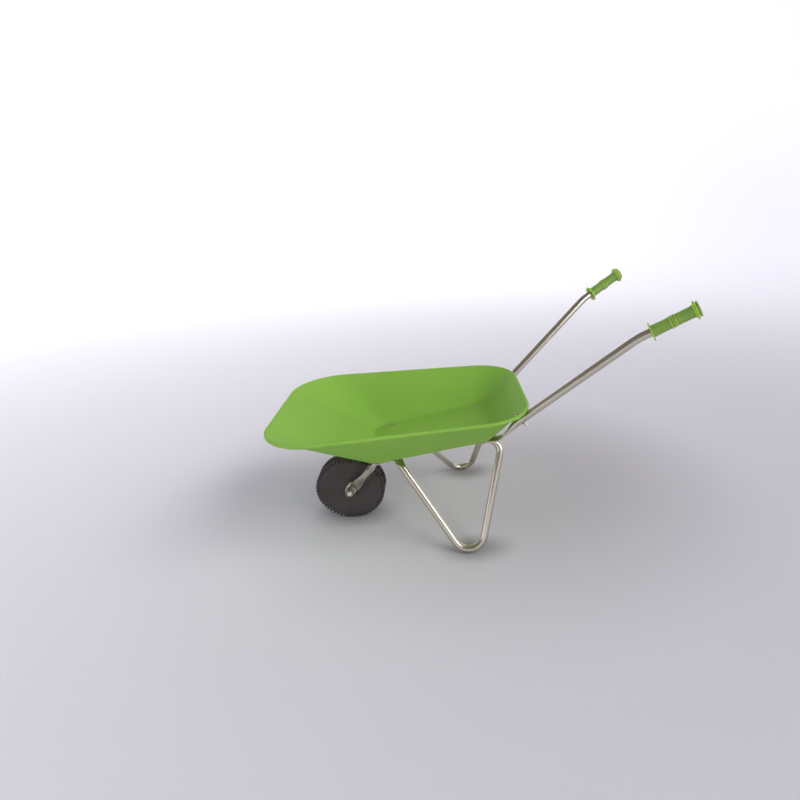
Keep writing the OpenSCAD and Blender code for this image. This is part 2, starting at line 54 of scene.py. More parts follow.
# ---- Camera
def make_camera():
    yaw, pitch, roll = -0.1252, 0.4456, 0.0097
    image, focal, middle = 800, 485.4, (498.3, 427.2)      # all in pixels
    place = Vector((AXLE_X - 213.27, 979.7, 676.3)) * MM
    right = Vector((-math.cos(yaw), -math.sin(yaw), 0))
    ahead = Vector((math.sin(yaw), -math.cos(yaw), 0))
    up = Vector((0, 0, 1))
    look = ahead * math.cos(pitch) - up * math.sin(pitch)
    up = up * math.cos(pitch) + ahead * math.sin(pitch)
    right, up = (right * math.cos(roll) + up * math.sin(roll),
                 up * math.cos(roll) - right * math.sin(roll))
    data = bpy.data.cameras.new("camera")
    data.sensor_width = 36
    data.lens = focal * data.sensor_width / image
    data.shift_x = (image / 2 - middle[0]) / image
    data.shift_y = (middle[1] - image / 2) / image
    data.clip_start, data.clip_end = 0.05, 60
    cam = bpy.data.objects.new("camera", data)
    bpy.context.scene.collection.objects.link(cam)
    m = Matrix((right, up, -look)).transposed().to_4x4()
    m.translation = place
    cam.matrix_world = m
    bpy.context.scene.camera = cam


make_camera()


# ---- Small maths
def vec(*a):
    return np.array(a, float)


def unit(v):
    return v / np.linalg.norm(v)


def square_to(v, d):
    return unit(v - np.dot(v, d) * d)


def smooth(x):
    c = min(1.0, max(0.0, x))
    return c * c * (3 - 2 * c)


def rows(points, side=1):
    """Points in mm from the axle line, as metres in the row frame. side -1 mirrors to the right."""
    p = np.array(points, float) * [1, side, 1]
    return (p + [AXLE_X, 0, 0]) * MM


# ---- Meshes
def add_mesh(name, points, faces, mat, body, node, sharp):
    """A closed piece that rides on body and replaces a CAD node. Edges over sharp degrees stay crisp."""
    me = bpy.data.meshes.new(name)
    me.from_pydata([tuple(p) for p in points], [], [list(map(int, f)) for f in faces])
    me.validate()
    me.update()
    ob = bpy.data.objects.new(name, me)
    bpy.context.scene.collection.objects.link(ob)
    me.materials.append(mat)
    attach(ob, body)
    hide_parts(node)
    bm = bmesh.new()
    bm.from_mesh(me)
    bmesh.ops.recalc_face_normals(bm, faces=bm.faces)
    bm.to_mesh(me)
    bm.free()
    shade(me, sharp)
    return ob


def shade(me, sharp=None):
    """Smooth shading, with edges over sharp degrees left crisp."""
    for p in me.polygons:
        p.use_smooth = True
    if sharp:
        me.set_sharp_from_angle(angle=math.radians(sharp))


def grid_faces(n, m, wrap_m=True, wrap_n=False):
    """Quads of an n by m grid of points, point (i, j) at i * m + j."""
    out = []
    for i in range(n if wrap_n else n - 1):
        for j in range(m if wrap_m else m - 1):
            a, b = i * m + j, i * m + (j + 1) % m
            c, d = ((i + 1) % n) * m + (j + 1) % m, ((i + 1) % n) * m + j
            out.append([a, b, c, d])
    return out


# ---- Materials
def new_material(name):
    mat = bpy.data.materials.new(name)
    mat.use_nodes = True
    nt = mat.node_tree
    nt.nodes.clear()
    out = nt.nodes.new("ShaderNodeOutputMaterial")
    bsdf = nt.nodes.new("ShaderNodeBsdfPrincipled")
    nt.links.new(bsdf.outputs[0], out.inputs[0])
    coord = nt.nodes.new("ShaderNodeTexCoord")
    return mat, nt, bsdf, coord.outputs["Object"]


def noise(nt, coord, scale, detail):
    n = nt.nodes.new("ShaderNodeTexNoise")
    n.inputs["Scale"].default_value = scale
    n.inputs["Detail"].default_value = detail
    nt.links.new(coord, n.inputs["Vector"])
    return n.outputs["Fac"]


def ramp(nt, fac, stops):
    r = nt.nodes.new("ShaderNodeValToRGB")
    nt.links.new(fac, r.inputs[0])
    el = r.color_ramp.elements
    while len(el) < len(stops):
        el.new(0.5)
    for e, (pos, col) in zip(el, stops):
        e.position = pos
        e.color = (*col, 1)
    return r.outputs[0]


def grey_ramp(nt, fac, lo, hi, start=0.3, end=0.7):
    return ramp(nt, fac, [(start, (lo,) * 3), (end, (hi,) * 3)])


def mixed(nt, fac, a, b):
    m = nt.nodes.new("ShaderNodeMix")
    m.data_type = "RGBA"
    for sock, val in ((m.inputs[0], fac), (m.inputs[6], a), (m.inputs[7], b)):
        if isinstance(val, bpy.types.NodeSocket):
            nt.links.new(val, sock)
        elif isinstance(val, (int, float)):
            sock.default_value = val
        else:
            sock.default_value = (*val, 1)
    return m.outputs[2]


def bump(nt, bsdf, heights):
    """heights: list of (socket, strength, distance), stacked."""
    last = None
    for h, strength, dist in heights:
        b = nt.nodes.new("ShaderNodeBump")
        b.inputs["Strength"].default_value = strength
        b.inputs["Distance"].default_value = dist
        nt.links.new(h, b.inputs["Height"])
        if last:
            nt.links.new(last, b.inputs["Normal"])
        last = b.outputs[0]
    nt.links.new(last, bsdf.inputs["Normal"])


def edge_highlight(nt, gain=6.0):
    """Near 1 on convex edges, from the mesh's own pointiness. It masks a painted highlight: a paler colour
    on the edges.
    """
    g = nt.nodes.new("ShaderNodeNewGeometry")
    r = nt.nodes.new("ShaderNodeMapRange")
    r.inputs["From Min"].default_value = 0.5 + 0.2 / gain
    r.inputs["From Max"].default_value = 0.5 + 0.6 / gain
    nt.links.new(g.outputs["Pointiness"], r.inputs["Value"])
    return r.outputs[0]


def paint_material():
    mat, nt, b, co = new_material("tray_green_paint")
    wide = noise(nt, co, 5.0, 2)
    fine = noise(nt, co, 60.0, 4)
    col = ramp(nt, wide, [(0.3, (0.242, 0.478, 0.068)), (0.7, (0.280, 0.528, 0.078))])
    col = mixed(nt, grey_ramp(nt, fine, 0.0, 0.10), col, (0.310, 0.550, 0.100))
    # Painted highlight: convex edges, such as the rim's bead, are painted a paler green
    col = mixed(nt, edge_highlight(nt, 9.0), col, (0.420, 0.650, 0.105))
    nt.links.new(col, b.inputs["Base Color"])
    nt.links.new(grey_ramp(nt, noise(nt, co, 22.0, 5), 0.40, 0.52), b.inputs["Roughness"])
    b.inputs["Coat Weight"].default_value = 0.03
    b.inputs["Coat Roughness"].default_value = 0.25
    b.inputs["Specular IOR Level"].default_value = 0.10
    bump(nt, b, [(noise(nt, co, 9.0, 2), 0.22, 0.004), (noise(nt, co, 900.0, 2), 0.05, 0.0004)])
    return mat


def zinc_material(name, base, dark, rough):
    mat, nt, b, co = new_material(name)
    patch = noise(nt, co, 26.0, 4)
    grain = noise(nt, co, 420.0, 3)
    col = ramp(nt, patch, [(0.25, dark), (0.75, base)])
    col = mixed(nt, grey_ramp(nt, grain, 0.0, 0.15), col, dark)
    nt.links.new(col, b.inputs["Base Color"])
    b.inputs["Metallic"].default_value = 1.0
    lo, hi = rough
    nt.links.new(grey_ramp(nt, noise(nt, co, 55.0, 5), lo, hi), b.inputs["Roughness"])
    bump(nt, b, [(noise(nt, co, 300.0, 3), 0.05, 0.0003)])
    return mat


def grip_material():
    mat, nt, b, co = new_material("grip_green_plastic")
    col = ramp(nt, noise(nt, co, 40.0, 3), [(0.3, (0.190, 0.345, 0.046)), (0.7, (0.232, 0.400, 0.056))])
    # Painted light: rings and flanges are painted a paler green, standing in for light shining through the
    # thin plastic
    flange_painted_light = nt.nodes.new("ShaderNodeAttribute")
    flange_painted_light.attribute_name = "flange_painted_light"
    col = mixed(nt, flange_painted_light.outputs["Fac"], col, (0.400, 0.610, 0.085))
    # Painted highlight: convex edges of the grip are painted a paler green
    col = mixed(nt, edge_highlight(nt, 5.0), col, (0.520, 0.700, 0.120))
    nt.links.new(col, b.inputs["Base Color"])
    nt.links.new(grey_ramp(nt, noise(nt, co, 90.0, 4), 0.36, 0.52), b.inputs["Roughness"])
    b.inputs["Specular IOR Level"].default_value = 0.45
    b.inputs["Subsurface Weight"].default_value = 0.06
    b.inputs["Subsurface Radius"].default_value = (0.002, 0.004, 0.001)
    b.inputs["Subsurface Scale"].default_value = 0.5
    bump(nt, b, [(noise(nt, co, 1400.0, 2), 0.12, 0.0002), (noise(nt, co, 60.0, 2), 0.10, 0.0006)])
    return mat


def dark_plastic(name, lo, hi, rough):
    mat, nt, b, co = new_material(name)
    col = ramp(nt, noise(nt, co, 30.0, 5), [(0.3, lo), (0.7, hi)])
    dust = noise(nt, co, 180.0, 4)
    col = mixed(nt, grey_ramp(nt, dust, 0.0, 0.12, 0.45, 0.8), col, (0.105, 0.096, 0.088))
    nt.links.new(col, b.inputs["Base Color"])
    nt.links.new(grey_ramp(nt, noise(nt, co, 120.0, 4), *rough), b.inputs["Roughness"])
    b.inputs["Specular IOR Level"].default_value = 0.35
    bump(nt, b, [(noise(nt, co, 1100.0, 3), 0.25, 0.0004), (noise(nt, co, 90.0, 3), 0.12, 0.0008)])
    return mat


paint = paint_material()
zinc = zinc_material("tube_zinc_plate", (0.64, 0.60, 0.505), (0.56, 0.525, 0.43), (0.20, 0.28))
bolt_zinc = zinc_material("bolt_zinc_plate", (0.70, 0.68, 0.61), (0.60, 0.58, 0.51), (0.22, 0.32))
# A lit and a shaded copy of one zinc plating: the axle bolt is painted brighter, a painted highlight on its
# end, and the nut darker, a painted shade on its sides
bolt_lit_zinc = zinc_material("bolt_end_painted_highlight", (0.86, 0.85, 0.79), (0.78, 0.77, 0.70), (0.24, 0.34))
nut_shaded_zinc = zinc_material("nut_zinc_painted_shade", (0.34, 0.32, 0.27), (0.26, 0.245, 0.21), (0.26, 0.36))
grip_green = grip_material()
wheel_dark = dark_plastic("wheel_dark_plastic", (0.053, 0.045, 0.042), (0.068, 0.058, 0.054),
                          (0.55, 0.75))
bush_dark = dark_plastic("bush_dark_plastic", (0.022, 0.021, 0.020), (0.034, 0.032, 0.030),
                         (0.40, 0.60))

# ---- Tray: ruled walls between a floor outline and a rim outline, with a rolled rim
RIM = dict(front=120, rear=-382, half_front=192, half_rear=164, r_front=96, r_rear=90)
FLOOR = dict(front=-55, rear=-314, half_front=96.5, half_rear=104.2, r_front=31, r_rear=25)
SHEET_T, FLOOR_BEND, BEAD_R, BEAD_TURN = 1.0, 14.0, 3.2, 255.0
FLOOR_Z = ((-55, 176.5), (-314, 224.24))
RIM_Z = ((120, 270.0), (-382, 298.0))


def line_z(line, x):
    (x0, z0), (x1, z1) = line
    return z0 + (z1 - z0) * (x - x0) / (x1 - x0)


FLOOR_SLOPE = (FLOOR_Z[1][1] - FLOOR_Z[0][1]) / (FLOOR_Z[1][0] - FLOOR_Z[0][0])
FLOOR_UP = unit(vec(-FLOOR_SLOPE, 0, 1))


def dir2(a):
    return vec(math.cos(a), math.sin(a))


def side_angle(p):
    return math.pi / 2 + math.atan((p["half_front"] - p["half_rear"]) / (p["front"] - p["rear"]))


def arc_centre(v, r, a, b):
    return v - r * (dir2(a) + dir2(b)) / (1 + np.dot(dir2(a), dir2(b)))


def front_corner(p, k):
    a = side_angle(p)
    return arc_centre(vec(p["front"], p["half_front"]), p["r_front"], 0, a) + p["r_front"] * dir2(k * a)


def rear_corner(p, k):
    a = side_angle(p)
    c = arc_centre(vec(p["rear"], p["half_rear"]), p["r_rear"], a, math.pi)
    return c + p["r_rear"] * dir2(a + k * (math.pi - a))


def outline(p, corner=30, side=14, end=8):
    """A closed plan outline from the front's middle, down the left and back up the right."""
    f0, r1 = front_corner(p, 0), rear_corner(p, 1)
    left = [vec(f0[0], f0[1] * (i + 0.5) / end) for i in range(end)]
    left += [front_corner(p, i / corner) for i in range(corner + 1)]
    a, b = front_corner(p, 1), rear_corner(p, 0)
    left += [a + (b - a) * i / side for i in range(1, side)]
    left += [rear_corner(p, i / corner) for i in range(corner + 1)]
    left += [vec(r1[0], r1[1] * (end - i - 0.5) / end) for i in range(end)]
    return left + [q * [1, -1] for q in reversed(left)]


def wall_frame(f, r):
    """Directions, floor bend and rim bead centre of the wall between a floor and a rim point."""
    w = unit(r - f)
    g = square_to(w, FLOOR_UP)
    turn = math.acos(np.dot(w, g))
    bend = f - g * FLOOR_BEND * math.tan(turn / 2) + FLOOR_UP * FLOOR_BEND
    m = g * math.sin(turn) - FLOOR_UP * math.cos(turn)
    return w, g, turn, bend, m, r + m * BEAD_R


def wall_section(f, r, off, bends=9, straights=10, beads=18):
    """One face of the sheet, off to the side of its middle, from the floor to the bead's lip."""
    w, g, turn, bend, m, bead = wall_frame(f, r)
    out = []
    for i in range(bends + 1):
        a = turn * i / bends
        out.append(bend + (FLOOR_BEND - off) * (g * math.sin(a) - FLOOR_UP * math.cos(a)))
    first = out[-1]
    last = bead - m * (BEAD_R + off)
    out += [first + (last - first) * i / straights for i in range(1, straights)]
    for i in range(beads + 1):
        a = math.radians(BEAD_TURN) * i / beads
        out.append(bead + (BEAD_R + off) * (w * math.sin(a) - m * math.cos(a)))
    return out


def make_tray():
    fl, rm = outline(FLOOR), outline(RIM)
    loops = []
    for a, b in zip(fl, rm):
        f, r = vec(a[0], a[1], line_z(FLOOR_Z, a[0])), vec(b[0], b[1], line_z(RIM_Z, b[0]))
        loops.append(wall_section(f, r, SHEET_T / 2) + wall_section(f, r, -SHEET_T / 2)[::-1])
    n, m = len(loops), len(loops[0])
    faces = grid_faces(n, m, wrap_m=False, wrap_n=True)
    inner = [i * m for i in range(n)]
    under = [i * m + m - 1 for i in range(n)]
    points = [q for lp in loops for q in lp]

    def floor_grid(ring, up):
        """Fills a ring with rings shrinking to its middle, so the flat shades evenly."""
        mid = sum(points[i] for i in ring) / len(ring)
        prev = ring
        for share in (0.85, 0.6, 0.3):
            start = len(points)
            points.extend(mid + (points[i] - mid) * share for i in ring)
            cur = list(range(start, start + n))
            for i in range(n):
                j = (i + 1) % n
                q = [prev[i], prev[j], cur[j], cur[i]]
                faces.append(q if up else q[::-1])
            prev = cur
        faces.append(prev if up else prev[::-1])

    floor_grid(inner, False)
    floor_grid(under, True)
    lo, hi = (np.array(v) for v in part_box("tray"))
    points = rows(points)
    mid, half = (lo + hi) / 2, (hi - lo) / 2
    points = mid + (points - mid) * np.minimum(1, half / np.abs(points - mid).max(axis=0))
    add_mesh("tray_pressing", points, faces, paint, "frame", "tray", 50)


make_tray()

# ---- Bent tubes, pressed flat where they are bolted
TUBE_R, FLAT_HALF = 8.0, 1.4
FRONT_BOLT_X, REAR_BOLT_X, BOLT_Y, GAP = -95, -293.5, 84, 0.1


def under_floor(x, y, depth):
    return vec(x, y, line_z(FLOOR_Z, x)) - FLOOR_UP * (SHEET_T / 2 + depth)


def bend_at(p, q, s, r):
    a, b = unit(q - p), unit(s - q)
    turn = math.acos(np.dot(a, b))
    cut = r * math.tan(turn / 2)
    side = square_to(b, a)
    start = q - a * cut
    return dict(start=start, centre=start + side * r, end=q + b * cut, dir=a, side=side, turn=turn, r=r)


def bend_points(b, steps):
    out = []
    for i in range(steps + 1):
        a = b["turn"] * i / steps
        out.append((b["centre"] - b["side"] * b["r"] * math.cos(a) + b["dir"] * b["r"] * math.sin(a),
                    b["dir"] * math.cos(a) + b["side"] * math.sin(a)))
    return out


def route(points, radii, step=4.0):
    """Stations (position, direction) along a route, their run lengths, and each bend's two ends."""
    out, marks, at = [], [], points[0]
    for i in range(1, len(points) - 1):
        b = bend_at(points[i - 1], points[i], points[i + 1], radii[i - 1])
        n = max(1, int(np.linalg.norm(b["start"] - at) / step))
        d = unit(b["start"] - at)
        out += [(at + (b["start"] - at) * k / n, d) for k in range(n)]
        first = len(out)
        out += bend_points(b, max(4, int(math.degrees(b["turn"]) / 5)))
        marks.append((first, len(out) - 1))
        at = b["end"]
        out.pop()
    n = max(1, int(np.linalg.norm(points[-1] - at) / step))
    d = unit(points[-1] - at)
    out += [(at + (points[-1] - at) * k / n, d) for k in range(n + 1)]
    gaps = [np.linalg.norm(out[i + 1][0] - out[i][0]) for i in range(len(out) - 1)]
    s = np.concatenate([[0], np.cumsum(gaps)])
    return out, s, [(s[a], s[min(b, len(s) - 1)]) for a, b in marks]


SIDES = 40


def stadium(c, d, flat, half, wide):
    """A flattened ring round c, half thick along flat and wide across it."""
    t = square_to(flat, d)
    w = np.cross(d, t)
    out = []
    for i in range(SIDES):
        a = 2 * math.pi * (i + 0.5) / SIDES
        across = math.cos(a) * half + math.copysign(max(0.0, wide - half), math.cos(a))
        out.append(c + w * across + t * math.sin(a) * half)
    return out


def swept(name, stations, halves, flats, side, round_end=True):
    """A tube with a stadium section of constant girth. A flat end is rounded like a spoon."""
    stations, halves, flats = list(stations), list(halves), list(flats)
    wides = [h + math.pi / 2 * (TUBE_R - h) for h in halves]
    for start in (True, False):
        k = 0 if start else -1
        p, d = stations[k]
        if halves[k] > TUBE_R / 2 or not (start or round_end):
            continue
        r, sgn = wides[k], (-1 if start else 1)
        extra = []
        for a in (18, 36, 52, 66, 78, 86):
            a = math.radians(a)
            wide = max(halves[k] * 1.05, r * math.cos(a))
            extra.append(((p + d * sgn * r * math.sin(a), d), halves[k], flats[k], wide))
        extra = extra[::-1] if start else extra
        ins = 0 if start else len(stations)
        stations[ins:ins] = [e[0] for e in extra]
        halves[ins:ins] = [e[1] for e in extra]
        flats[ins:ins] = [e[2] for e in extra]
        wides[ins:ins] = [e[3] for e in extra]
    pts = [q for (c, d), f, h, w in zip(stations, flats, halves, wides) for q in stadium(c, d, f, h, w)]
    n = len(stations)
    faces = grid_faces(n, SIDES)
    faces.append(list(range(SIDES))[::-1])
    faces.append([(n - 1) * SIDES + j for j in range(SIDES)])
    add_mesh(name, rows(pts, side), faces, zinc, "frame", name.replace("_tube", ""), 55)


def half_at(k):
    """Half the tube's thickness: pressed flat at 0, round at 1."""
    return FLAT_HALF + (TUBE_R - FLAT_HALF) * smooth(k)


FOOT_R = 33
STRAP_DEPTH = GAP + FLAT_HALF
REAR_DEPTH = STRAP_DEPTH + GAP + 2 * FLAT_HALF
TAB_Y = WHEEL_W / 2 + 3.4 + 0.5 + FLAT_HALF
CREST_FRONT = under_floor(-74, BOLT_Y, STRAP_DEPTH)
LEG_TOP = under_floor(-113, BOLT_Y - 2, STRAP_DEPTH)
LEG_REAR = under_floor(-335, BOLT_Y - 1, REAR_DEPTH)
FRAME_END = under_floor(REAR_BOLT_X + 10, BOLT_Y + 0.6, REAR_DEPTH)
TAB = vec(0, TAB_Y, WHEEL_R)
TAB_DIR = unit(vec(CREST_FRONT[0], 0, CREST_FRONT[2] - WHEEL_R))
TAB_CORNER = TAB + TAB_DIR * 15
JOG_CORNER = TAB_CORNER + TAB_DIR * 5 + vec(-1.8, 5, -1.8)
FOOT_X, FOOT_Y = -271, 194


def foot_point():
    """The foot's virtual corner, lowered until the bend rests on the ground."""
    z = -34.0
    for _ in range(8):
        b = bend_at(LEG_TOP, vec(FOOT_X, FOOT_Y, z), LEG_REAR, FOOT_R)
        axis = unit(np.cross(b["dir"], b["side"]))
        z += TUBE_R - (b["centre"][2] - FOOT_R * math.sqrt(1 - axis[2] ** 2))
    return vec(FOOT_X, FOOT_Y, z)


def make_side_frame(side, name):
    pts = [TAB, TAB_CORNER, JOG_CORNER, CREST_FRONT, LEG_TOP, foot_point(), LEG_REAR, FRAME_END]
    st, s, marks = route(pts, [4, 4, 14, 14, FOOT_R, 24], 2.0)
    _, (_, paddle), (crest_from, _), (_, crest_to), _, (_, top_to) = marks

    def k_of(x):
        """How round the tube is at run length x."""
        front = max(min((x - paddle) / 66, (crest_from - x) / 36), (x - crest_to + 4) / 22)
        return min(front, (top_to - x) / 30)

    halves = [half_at(k_of(x)) for x in s]
    flats = []
    for x in s:
        k = smooth((x - (crest_from - 36) + 12) / 24)
        flats.append(unit(vec(0, 1 - k, 0) + FLOOR_UP * k))
    swept(name, st, halves, flats, side, round_end=False)


make_side_frame(1, "side_frame_tube_left")
make_side_frame(-1, "side_frame_tube_right")

# ---- Handles
def corner_wall(k, t):
    """A point of the rear corner wall, k round the corner and t up from the floor to the rim."""
    f, r = rear_corner(FLOOR, k), rear_corner(RIM, k)
    f, r = vec(*f, line_z(FLOOR_Z, f[0])), vec(*r, line_z(RIM_Z, r[0]))
    return (1 - t) * f + t * r


WALL_K, WALL_T = 0.75, 0.765
WALL_POINT = corner_wall(WALL_K, WALL_T)
WALL_OUT = unit(np.cross(corner_wall(WALL_K + 0.01, WALL_T) - corner_wall(WALL_K - 0.01, WALL_T),
                         corner_wall(WALL_K, 1) - corner_wall(WALL_K, 0)))
SPACER_H = 3.8
HANDLE_AT_WALL = WALL_POINT + WALL_OUT * (SHEET_T / 2 + SPACER_H + TUBE_R)
HANDLE_CORNER, HANDLE_END = vec(-562, 177, 451.5), vec(-652, 201, 507)
HANDLE_DIR = unit(HANDLE_CORNER - HANDLE_AT_WALL)
GRIP_DIR = unit(HANDLE_END - HANDLE_CORNER)
GRIP_LEN = 86.0


def make_handle(side, name):
    top = HANDLE_AT_WALL - HANDLE_DIR * 12
    end = under_floor(REAR_BOLT_X + 6, BOLT_Y - 2, STRAP_DEPTH)
    turn_x = -328
    turn_y = end[1] + (top[1] - end[1]) * (turn_x - end[0]) / (top[0] - end[0])
    pts = [end, under_floor(turn_x, turn_y, STRAP_DEPTH), top, HANDLE_CORNER, HANDLE_END - GRIP_DIR * 4]
    st, s, marks = route(pts, [30, 25, 122], 2.0)
    (_, strap_to), (_, top_to), _ = marks
    first = unit(pts[1] - pts[0])
    across = np.cross(FLOOR_UP, first)
    halves = [half_at((x - strap_to) / (top_to - strap_to)) for x in s]
    flats = []
    for (p, d), x in zip(st, s):
        k = smooth(x / strap_to)
        flats.append(unit(FLOOR_UP * (1 - k) + np.cross(d, across) * k))
    swept(name, st, halves, flats, side)


make_handle(1, "handle_tube_left")
make_handle(-1, "handle_tube_right")


# ---- Grips: sleeve with a hand stop, rings, thumb bumps, shallow panels and a double end flange
def rounded_profile(steps, soft=0.5):
    """steps: list of (z, r). Corners are cut back by soft, or by a third of the shorter side."""
    out = [steps[0]]
    for i in range(1, len(steps) - 1):
        p, q, r = (vec(*steps[j]) for j in (i - 1, i, i + 1))
        a, b = np.linalg.norm(p - q), np.linalg.norm(r - q)
        c = min(soft, a / 3, b / 3)
        s, e = q + (p - q) / a * c, q + (r - q) / b * c
        out += [tuple((1 - t) ** 2 * s + 2 * t * (1 - t) * q + t * t * e) for t in (0, 0.33, 0.67, 1)]
    return out + [steps[-1]]


def make_grip(side, name):
    mid, seg = GRIP_LEN * 0.46, 128
    steps = [(0, 8.3), (0, 17), (2.4, 17), (2.4, 11.2)]
    for i in (-1, 0, 1):
        z = mid + i * 4
        steps += [(z - 1.1, 10.4), (z - 0.8, 12.0), (z + 0.8, 12.0), (z + 1.1, 10.4)]
    steps += [(GRIP_LEN - 11, 11), (GRIP_LEN - 10.4, 12.2), (GRIP_LEN - 7.2, 12.2), (GRIP_LEN - 7.2, 17),
              (GRIP_LEN - 5, 17), (GRIP_LEN - 5, 11.6), (GRIP_LEN - 2.4, 11.6), (GRIP_LEN - 2.4, 14.5),
              (GRIP_LEN, 14.5), (GRIP_LEN, 0.6)]
    prof = rounded_profile(steps)
    fine = [prof[0]]
    for p in prof[1:]:
        n = max(1, int(abs(p[0] - fine[-1][0]) / 1.2))
        q = fine[-1]
        fine += [(q[0] + (p[0] - q[0]) * i / n, q[1] + (p[1] - q[1]) * i / n) for i in range(1, n + 1)]
    z_ax = GRIP_DIR
    x_ax = square_to(vec(0, 0, 1), z_ax)
    y_ax = np.cross(z_ax, x_ax)
    base = HANDLE_END - GRIP_DIR * GRIP_LEN

    def panel(z, a):
        """Shallow recesses along the sleeve, four round it, on each side of the rings."""
        ends = ((6, mid - 7.5), (mid + 12, GRIP_LEN - 14))
        best = 0.0
        for lo, hi in ends:
            best = max(best, smooth((z - lo) / 1.5) * smooth((hi - z) / 1.5))
        turn = (math.degrees(a) + 45) % 90 - 45
        return best * smooth((27 - abs(turn)) / 6)

    def thumb(z, a):
        """Two small round bumps beside the rings, above and below."""
        best = 0.0
        for c in (30, 150, 210, 330):
            da = (math.degrees(a) - c + 180) % 360 - 180
            d = math.hypot(z - (mid + 9.3), math.radians(da) * 11)
            best = max(best, math.sqrt(max(0.0, 1 - (d / 1.9) ** 2)))
        return best

    # Mask for the painted light: 1 on rings and flanges, where the radius stands out, and 0.3 on the end
    # face
    pts, flange_painted_light = [], []
    for z, r in fine:
        for j in range(seg):
            a = 2 * math.pi * j / seg
            rr = r
            flange_painted_light.append(smooth((r - 11.3) / 0.7) if z < GRIP_LEN - 0.5 else 0.3)
            if 10.5 < r < 11.6:
                rr = r - 0.95 * panel(z, a) + 1.3 * thumb(z, a)
            pts.append(base + z_ax * z + (x_ax * math.cos(a) + y_ax * math.sin(a)) * rr)
    n = len(fine)
    faces = grid_faces(n, seg)
    faces.append([(n - 1) * seg + j for j in range(seg)])
    faces.append(list(range(seg))[::-1])
    node = name.replace("_moulding", "")
    ob = add_mesh(name, rows(pts, side), faces, grip_green, "frame", node, 40)
    ob.data.attributes.new("flange_painted_light", "FLOAT", "POINT").data.foreach_set("value", flange_painted_light)


make_grip(1, "grip_moulding_left")
make_grip(-1, "grip_moulding_right")


# ---- Wheel: one lathe body with a ring of bevelled lugs on each shoulder
WHEEL_SEG, LUGS, LUG_H = 180, 54, 3.5


def make_lug(points, faces, centre, row, turn, half, tread):
    """Adds one rounded block, from the tread's outer third to the shoulder."""
    pitch, start = 2 * math.pi / LUGS, len(points)
    widths = (half - 13, half - 12.3, half - 0.8, half - 0.1)
    shares, lifts = (-0.30, -0.265, 0.265, 0.30), (0, 1, 1, 0)
    for y, ly in zip(widths, lifts):
        for t, lt in zip(shares, lifts):
            a = turn + t * pitch
            for top in (0, 1):
                h = WHEEL_R - 0.05 - 0.55 * (1 - min(ly, lt)) if top else tread - LUG_H
                points.append(centre + vec(h * math.cos(a), row * y, h * math.sin(a)))

    def at(p, q, top):
        return start + (p * 4 + q) * 2 + top

    for p in range(3):
        for q in range(3):
            faces.append([at(p, q, 1), at(p + 1, q, 1), at(p + 1, q + 1, 1), at(p, q + 1, 1)])
            faces.append([at(p, q, 0), at(p, q + 1, 0), at(p + 1, q + 1, 0), at(p + 1, q, 0)])
    for p in range(3):
        faces.append([at(p, 0, 0), at(p + 1, 0, 0), at(p + 1, 0, 1), at(p, 0, 1)])
        faces.append([at(p, 3, 1), at(p + 1, 3, 1), at(p + 1, 3, 0), at(p, 3, 0)])
        faces.append([at(0, p, 1), at(0, p + 1, 1), at(0, p + 1, 0), at(0, p, 0)])
        faces.append([at(3, p, 0), at(3, p + 1, 0), at(3, p + 1, 1), at(3, p, 1)])


def make_wheel(name):
    half, tread = WHEEL_W / 2, WHEEL_R - LUG_H
    c = vec(0, 0, WHEEL_R)
    prof = [(-half + 0.8, 10.1), (-half, 10.9), (-half, 17), (-half + 0.9, 18.2), (-half + 0.9, 56),
            (-half, 57.2), (-half, 66.5), (-half + 1.0, 69), (-half + 4, tread), (-half + 13, tread),
            (-half + 14.5, tread - 1.6), (half - 14.5, tread - 1.6), (half - 13, tread), (half - 4, tread),
            (half - 1.0, 69), (half, 66.5), (half, 57.2), (half - 0.9, 56), (half - 0.9, 18.2), (half, 17),
            (half, 10.9), (half - 0.8, 10.1)]
    prof = rounded_profile(prof, 0.6)
    turns = [2 * math.pi * j / WHEEL_SEG for j in range(WHEEL_SEG)]
    pts = [c + vec(r * math.cos(a), y, r * math.sin(a)) for y, r in prof for a in turns]
    faces = grid_faces(len(prof), WHEEL_SEG)
    last = (len(prof) - 1) * WHEEL_SEG
    for j in range(WHEEL_SEG):
        k = (j + 1) % WHEEL_SEG
        faces.append([last + j, last + k, k, j])
    for row in (1, -1):
        for i in range(LUGS):
            make_lug(pts, faces, c, row, 2 * math.pi * i / LUGS, half, tread)
    add_mesh(name, rows(pts), faces, wheel_dark, "wheel", "wheel", 35)


make_wheel("wheel_moulding")


# ---- Axle bolt and nut: chamfered hexagons, and a threaded end that stands out of the nut
def turned(name, levels, radius, node, mat, seg=144):
    """Rings of points along +Y at each of levels (y, z on the piece's own scale), with radius(z, angle)."""
    pts = []
    for y, z in levels:
        for j in range(seg):
            a = 2 * math.pi * j / seg
            r = radius(z, a)
            pts.append(vec(r * math.sin(a), y, WHEEL_R + r * math.cos(a)))
    n = len(levels)
    faces = grid_faces(n, seg)
    faces.append(list(range(seg))[::-1])
    faces.append([(n - 1) * seg + j for j in range(seg)])
    add_mesh(name, rows(pts), faces, mat, "frame", node, 28)


def hexagon(a, across, cap):
    """A hexagon's radius at angle a, no more than cap, which chamfers its corners."""
    return min(across / 2 / math.cos((a + math.pi / 6) % (math.pi / 3) - math.pi / 6), cap)


def span(node, axis):
    """A CAD node's two ends along an axis, in mm."""
    return [v[axis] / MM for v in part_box(node)]


